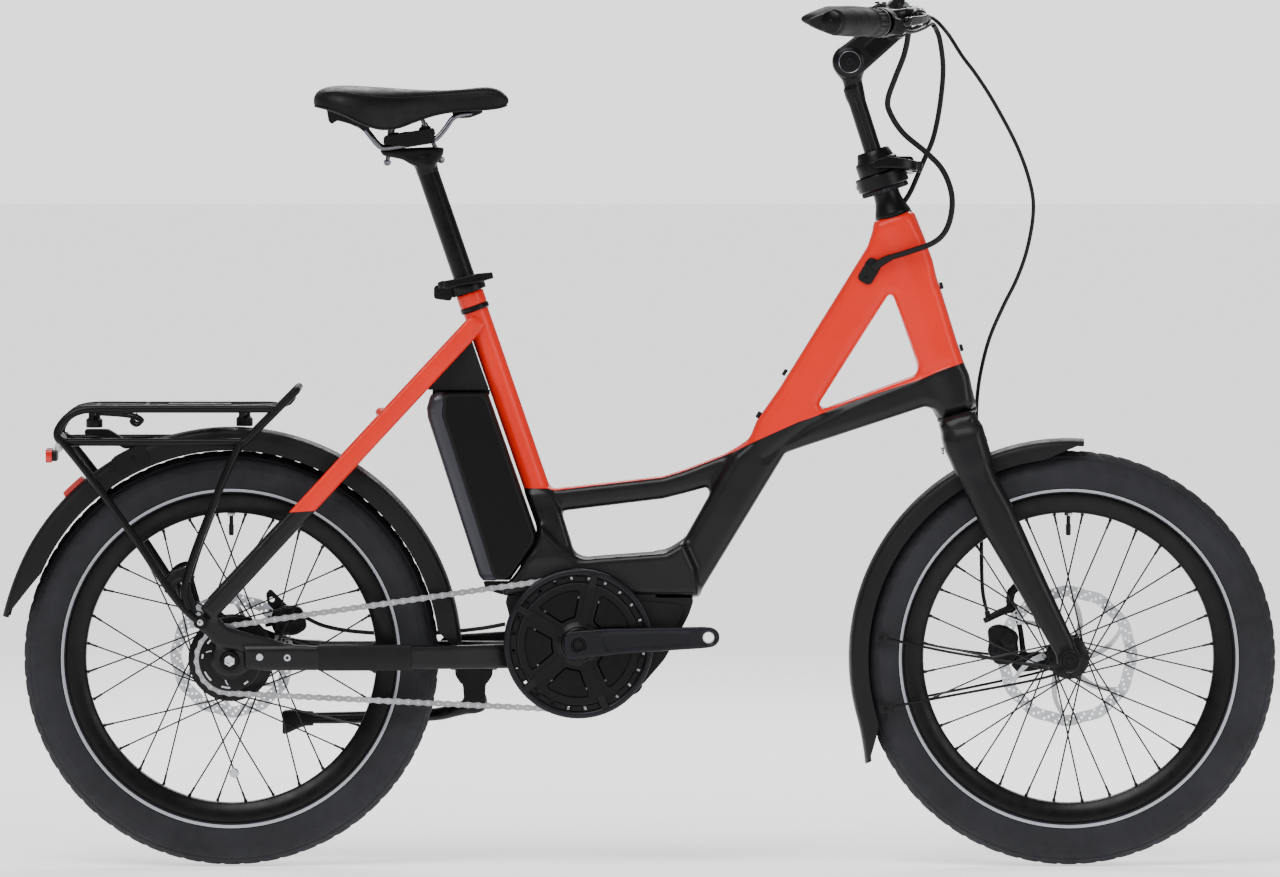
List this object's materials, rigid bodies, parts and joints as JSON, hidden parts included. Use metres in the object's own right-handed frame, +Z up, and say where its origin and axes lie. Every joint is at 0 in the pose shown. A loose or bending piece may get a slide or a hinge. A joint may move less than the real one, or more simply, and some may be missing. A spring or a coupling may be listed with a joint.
{
  "type": "folding bicycle",
  "caption": "Compact electric bicycle with small wheels, low step-through frame, stem that lowers and twists flat, telescoping seat post, mudguards, rack and kickstand.",
  "frame": {"origin": "on the floor below the middle of the bicycle's length, on its mid-plane", "axes": "+X forwards, +Y to the rider's left, +Z up"},
  "size_m": [1.6201, 0.632, 1.126],
  "materials": {
    "orange_frame": "satin powder coat",
    "black_frame": "satin",
    "black_metal": "anodised satin",
    "black_plastic": "moulded",
    "tyre": "matte",
    "grip_rubber": "matte",
    "saddle_cover": "soft synthetic cover",
    "steel": "brushed",
    "red_lens": "clear red"
  },
  "bodies": {
    "frame": {"upper_frame": "orange_frame", "lower_frame": "black_frame", "low_top_tube": "black_frame", "seat_tube": "orange_frame", "motor_housing": "black_plastic", "seat_stay_right": "orange_frame", "seat_stay_left": "orange_frame", "chain_stay_right": "black_frame", "chain_stay_left": "black_frame", "rear_axle": "steel", "rear_mudguard": "black_plastic", "rack_deck": "black_metal", "rack_leg_right": "black_metal", "rack_leg_left": "black_metal", "rear_light": "red_lens", "seat_clamp": "black_metal", "battery_lock": "black_plastic", "kickstand_mount": "black_metal", "rear_caliper": "black_metal", "chain": "steel"},
    "fork": {"fork": "black_frame", "front_axle": "steel", "front_mudguard": "black_plastic", "front_caliper": "black_metal", "stem_collar": "black_metal", "front_brake_hose": "black_plastic", "frame_loom": "black_plastic", "collar_loom": "black_plastic"},
    "front_wheel": {"front_tyre": "tyre", "front_rim": "black_metal", "front_spokes": "black_metal", "front_hub": "black_metal", "front_rotor": "steel"},
    "rear_wheel": {"rear_tyre": "tyre", "rear_rim": "black_metal", "rear_spokes": "black_metal", "rear_hub": "black_metal", "rear_rotor": "steel"},
    "rear_sprocket": {"rear_sprocket": "black_metal"},
    "crank": {"chainring": "black_metal", "crank_axle": "steel", "crank_arm_right": "black_metal", "crank_arm_left": "black_metal"},
    "stem_slider": {"stem_guide_tube": "steel"},
    "stem_post": {"stem_post": "black_metal"},
    "cockpit": {"handlebar": "black_metal", "grip_right": "grip_rubber", "grip_left": "grip_rubber"},
    "twist_shifter": {"twist_shifter": "black_plastic"},
    "brake_lever_right": {"brake_lever_right": "black_metal"},
    "brake_lever_left": {"brake_lever_left": "black_metal"},
    "collar_lever": {"collar_lever": "black_metal"},
    "seat_clamp_lever": {"seat_clamp_lever": "black_metal"},
    "seat_post": {"seat_post": "black_metal", "saddle_rails": "steel", "saddle_pad": "saddle_cover"},
    "battery": {"battery": "black_plastic"},
    "kickstand": {"kickstand_leg": "black_metal"}
  },
  "joints": [
    {"name": "steering", "type": "hinge", "parent": "frame", "child": "fork", "pos_m": [0.4033, 0, 0.5743], "axis": [-0.3049, 0, 0.9524], "range_deg": [-65, 65], "deforming": ["front_brake_hose", "frame_loom", "collar_loom"]},
    {"name": "front_wheel_spin", "type": "hinge", "parent": "fork", "child": "front_wheel", "pos_m": [0.545, 0, 0.265], "axis": [0, 1, 0], "continuous": true},
    {"name": "rear_wheel_spin", "type": "hinge", "parent": "frame", "child": "rear_wheel", "pos_m": [-0.52, 0, 0.265], "axis": [0, 1, 0], "continuous": true},
    {"name": "crank_spin", "type": "hinge", "parent": "frame", "child": "crank", "pos_m": [-0.078, 0, 0.2857], "axis": [0, 1, 0], "continuous": true},
    {"name": "sprocket_spin", "type": "hinge", "parent": "frame", "child": "rear_sprocket", "pos_m": [-0.52, 0, 0.265], "axis": [0, 1, 0], "continuous": true},
    {"name": "stem_height", "type": "slide", "parent": "fork", "child": "stem_slider", "axis": [-0.3049, 0, 0.9524], "range_m": [0, 0.07]},
    {"name": "stem_twist", "type": "hinge", "parent": "stem_slider", "child": "stem_post", "pos_m": [0.4033, 0, 0.5743], "axis": [-0.3049, 0, 0.9524], "range_deg": [0, 90]},
    {"name": "stem_angle", "type": "hinge", "parent": "stem_post", "child": "cockpit", "pos_m": [0.2662, 0, 1.0231], "axis": [0, 1, 0], "range_deg": [-25, 30]},
    {"name": "shifter_twist", "type": "hinge", "parent": "cockpit", "child": "twist_shifter", "pos_m": [0.2993, -0.164, 1.07412], "axis": [-0.3358, -0.9419, 0.0075], "range_deg": [-50, 50]},
    {"name": "brake_right", "type": "hinge", "parent": "cockpit", "child": "brake_lever_right", "pos_m": [0.349, -0.15, 1.082], "axis": [0, 0, 1], "range_deg": [0, 12], "stiffness_Nm_per_rad": 1},
    {"name": "brake_left", "type": "hinge", "parent": "cockpit", "child": "brake_lever_left", "pos_m": [0.349, 0.15, 1.082], "axis": [0, 0, -1], "range_deg": [0, 12], "stiffness_Nm_per_rad": 1},
    {"name": "collar_quick_release", "type": "hinge", "parent": "fork", "child": "collar_lever", "pos_m": [0.352, -0.012, 0.89], "axis": [-0.3049, 0, 0.9524], "range_deg": [0, 110]},
    {"name": "seat_quick_release", "type": "hinge", "parent": "frame", "child": "seat_clamp_lever", "pos_m": [-0.252, -0.014, 0.741], "axis": [0.3255, 0, -0.9455], "range_deg": [0, 110]},
    {"name": "seat_height", "type": "slide", "parent": "frame", "child": "seat_post", "axis": [-0.3255, 0, 0.9455], "range_m": [-0.13, 0.04]},
    {"name": "battery_tilt", "type": "hinge", "parent": "frame", "child": "battery", "pos_m": [-0.182, 0, 0.3644], "axis": [-0.9455, 0, -0.3255], "range_deg": [0, 20]},
    {"name": "kickstand_swing", "type": "hinge", "parent": "frame", "child": "kickstand", "pos_m": [-0.211, 0.055, 0.208], "axis": [-0.0955, -0.9546, -0.2823], "range_deg": [0, 68]}
  ],
  "couplings": [
    {"joint": "sprocket_spin", "follows": "crank_spin", "ratio": 2}
  ]
}
